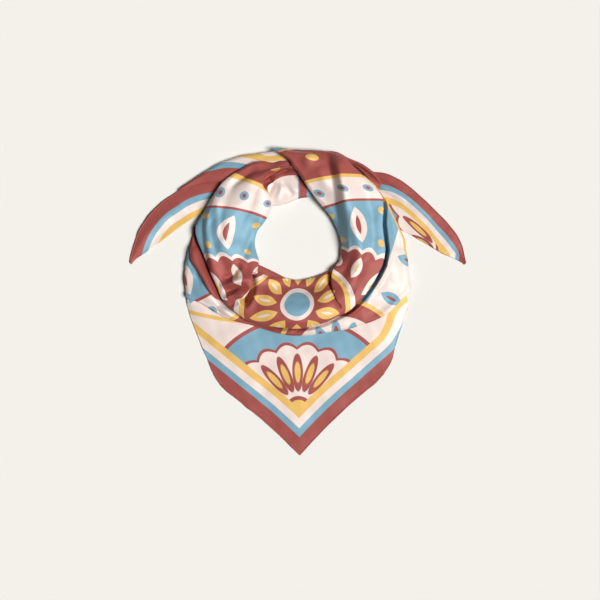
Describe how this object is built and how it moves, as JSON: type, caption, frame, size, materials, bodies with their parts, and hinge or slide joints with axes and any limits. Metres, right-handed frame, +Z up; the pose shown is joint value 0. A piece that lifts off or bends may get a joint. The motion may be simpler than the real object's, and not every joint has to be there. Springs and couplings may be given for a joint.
{
  "type": "silk square scarf",
  "caption": "Printed silk square folded to a triangle, rolled into a loose neck ring, tied behind with two pointed ends and lying flat with its front corner spread",
  "frame": {"origin": "centre of the bounding box, on the surface that the scarf lies on", "axes": "+X to the right of the scarf seen from above, +Y from the front corner to the knot, +Z up from the surface"},
  "size_m": [0.504, 0.46, 0.0419],
  "materials": {
    "silk_cream": "silk twill, cream ground, soft satin sheen",
    "silk_brick": "silk twill, brick red print, soft satin sheen",
    "silk_blue": "silk twill, dusty blue print, soft satin sheen"
  },
  "bodies": {
    "root": {"corner_lower": "silk_cream", "corner_front": "silk_cream", "middle_left": "silk_cream", "middle_right": "silk_cream", "knot_inside": "silk_cream", "core_ring": "silk_cream", "core_knot": "silk_cream", "tail_left": "silk_brick", "tail_right": "silk_brick", "tail_turnback": "silk_brick", "pleats_right": "silk_brick", "flap_left": "silk_brick", "inner_layer": "silk_brick", "strand_under": "silk_brick", "cowl": "silk_brick", "strand_over": "silk_brick", "roll_left": "silk_blue", "roll_right": "silk_blue"}
  },
  "joints": []
}
